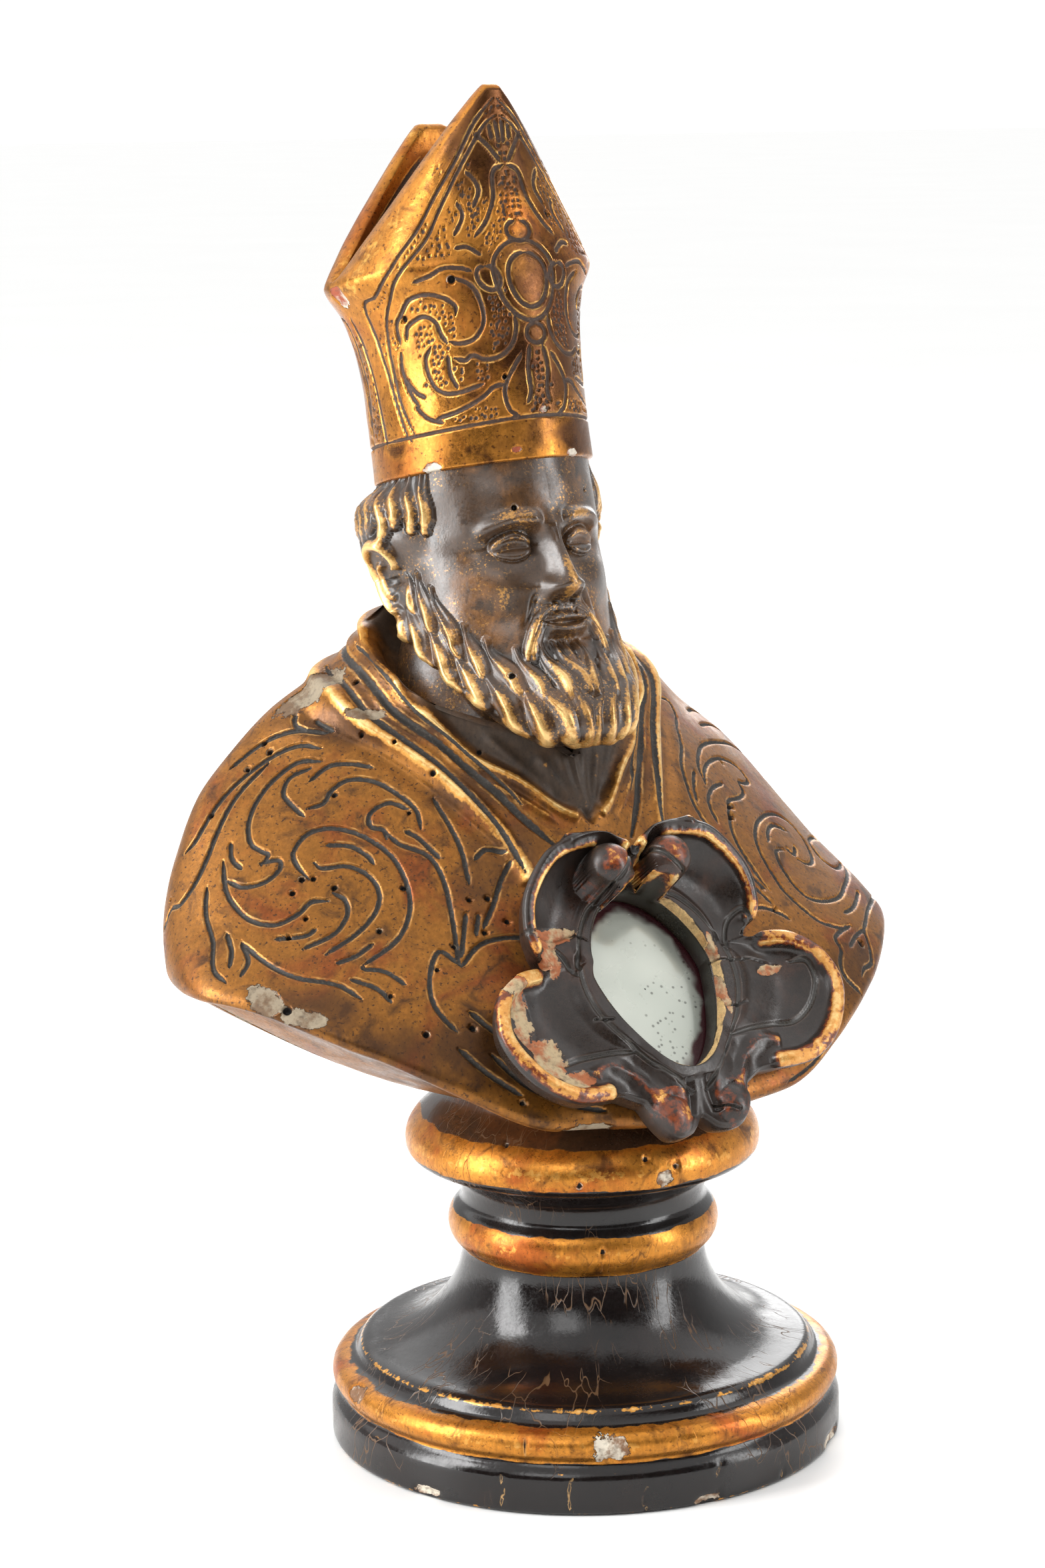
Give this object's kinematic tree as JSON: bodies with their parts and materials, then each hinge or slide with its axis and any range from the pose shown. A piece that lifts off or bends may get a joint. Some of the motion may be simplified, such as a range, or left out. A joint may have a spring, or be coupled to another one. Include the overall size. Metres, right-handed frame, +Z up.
{
  "type": "reliquary bust",
  "caption": "Carved, gilt and ebonised wooden reliquary bust of a bearded bishop in a tall cleft mitre, with a rococo cartouche around an oval glass, on a round turned socle",
  "frame": {"origin": "centre of the socle's round underside, on the standing surface", "axes": "+Z up through the socle's axis, -Y the way the figure faces, +X to the figure's left"},
  "size_m": [0.218, 0.1492, 0.3639],
  "materials": {
    "socle_wood": "ebonised gloss with gilt mouldings, crazed and worn",
    "bust_wood": "old burnished gilding over red bole, dark brown patina in the carving",
    "cartouche_wood": "ebonised satin with worn gilt rims",
    "silvered_glass": "old silvered glass with dark tarnish spots"
  },
  "bodies": {
    "root": {"socle": "socle_wood", "bust": "bust_wood", "cartouche": "cartouche_wood", "glass": "silvered_glass"}
  },
  "joints": []
}
